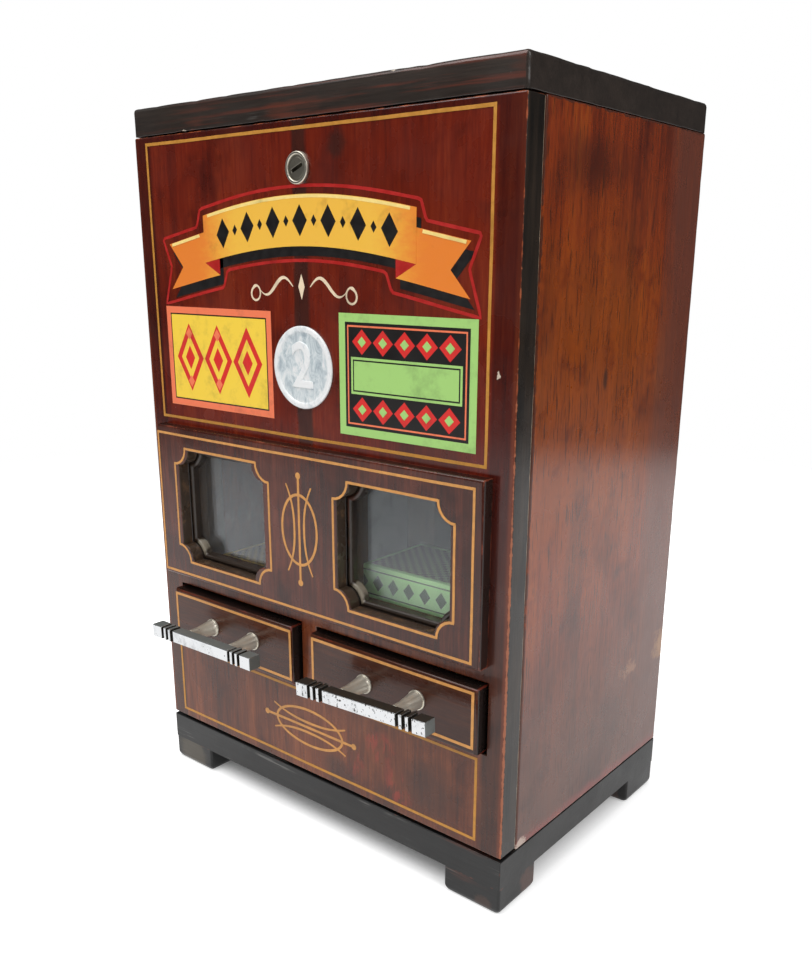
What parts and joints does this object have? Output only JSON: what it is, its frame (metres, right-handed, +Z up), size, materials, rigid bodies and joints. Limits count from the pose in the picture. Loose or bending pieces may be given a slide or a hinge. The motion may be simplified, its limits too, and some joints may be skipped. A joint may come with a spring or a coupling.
{
  "type": "cigarette vending machine",
  "caption": "Small wooden coin-operated cabinet with a lift-off lockable front, windows on to packet columns, and pull drawers with bar handles.",
  "frame": {"origin": "on the floor, in the middle of the box round the whole object, handles included", "axes": "+Z up, +Y towards the back, +X to the right of someone facing the front"},
  "size_m": [0.215, 0.1684, 0.33],
  "materials": {
    "mahogany": "gloss",
    "ebonised_wood": "satin",
    "pale_wood": "matte",
    "dark_bead": "satin",
    "window_glass": "gloss",
    "tinplate": "satin",
    "brass": "satin",
    "nickel": "satin",
    "chrome": "polished",
    "silver_disc": "satin",
    "yellow_card": "matte",
    "green_card": "matte"
  },
  "bodies": {
    "carcass": {"base_board": "ebonised_wood", "front_feet": "ebonised_wood", "rear_feet": "ebonised_wood", "left_side": "mahogany", "right_side": "mahogany", "back_panel": "mahogany", "back_screws": "brass", "top_cap": "ebonised_wood", "coin_slot_plate": "brass", "partition": "pale_wood", "left_coin_chute": "tinplate", "right_coin_chute": "tinplate", "left_column_guides": "pale_wood", "right_column_guides": "pale_wood", "drawer_shelf": "pale_wood", "shelf_cleats": "pale_wood", "drawer_guides": "pale_wood", "corner_blocks": "pale_wood", "front_dowels": "pale_wood", "strike_plate": "nickel", "latch_pin": "nickel", "latch_stop_pin": "nickel", "cash_box": "tinplate", "left_packets": "yellow_card", "right_packets": "green_card"},
    "front": {"front_board": "mahogany", "window_panel": "mahogany", "left_window_bead": "dark_bead", "right_window_bead": "dark_bead", "left_window_glass": "window_glass", "right_window_glass": "window_glass", "left_glass_strips": "pale_wood", "right_glass_strips": "pale_wood", "price_disc": "silver_disc", "lock_case": "nickel", "lock_nut": "nickel"},
    "lock": {"lock_plug": "nickel", "lock_cam": "nickel", "lock_cam_screw": "nickel"},
    "left_drawer": {"left_drawer_front": "mahogany", "left_drawer_box": "pale_wood", "left_drawer_deck": "pale_wood", "left_handle_bar": "chrome", "left_handle_posts": "nickel", "left_handle_screws": "nickel", "left_latch_catch": "brass", "left_stop_peg": "pale_wood", "left_drawer_packet": "yellow_card"},
    "right_drawer": {"right_drawer_front": "mahogany", "right_drawer_box": "pale_wood", "right_drawer_deck": "pale_wood", "right_handle_bar": "chrome", "right_handle_posts": "nickel", "right_handle_screws": "nickel", "right_latch_catch": "brass", "right_stop_peg": "pale_wood", "right_drawer_packet": "green_card"},
    "left_latch": {"left_coin_latch": "brass"},
    "right_latch": {"right_coin_latch": "brass"}
  },
  "joints": [
    {"name": "front_lift_off", "type": "slide", "parent": "carcass", "child": "front", "axis": [0, -1, 0], "range_m": [0, 0.08]},
    {"name": "lock_turn", "type": "hinge", "parent": "front", "child": "lock", "pos_m": [0, -0.0358, 0.2993], "axis": [0, -1, 0], "range_deg": [0, 90]},
    {"name": "left_drawer_slide", "type": "slide", "parent": "carcass", "child": "left_drawer", "axis": [0, -1, 0], "range_m": [0, 0.07]},
    {"name": "right_drawer_slide", "type": "slide", "parent": "carcass", "child": "right_drawer", "axis": [0, -1, 0], "range_m": [0, 0.07]},
    {"name": "left_latch_drop", "type": "hinge", "parent": "carcass", "child": "left_latch", "pos_m": [-0.01047, 0.0082, 0.106], "axis": [-1, 0, 0], "range_deg": [0, 13]},
    {"name": "right_latch_drop", "type": "hinge", "parent": "carcass", "child": "right_latch", "pos_m": [0.01172, 0.0082, 0.106], "axis": [-1, 0, 0], "range_deg": [0, 13]}
  ]
}
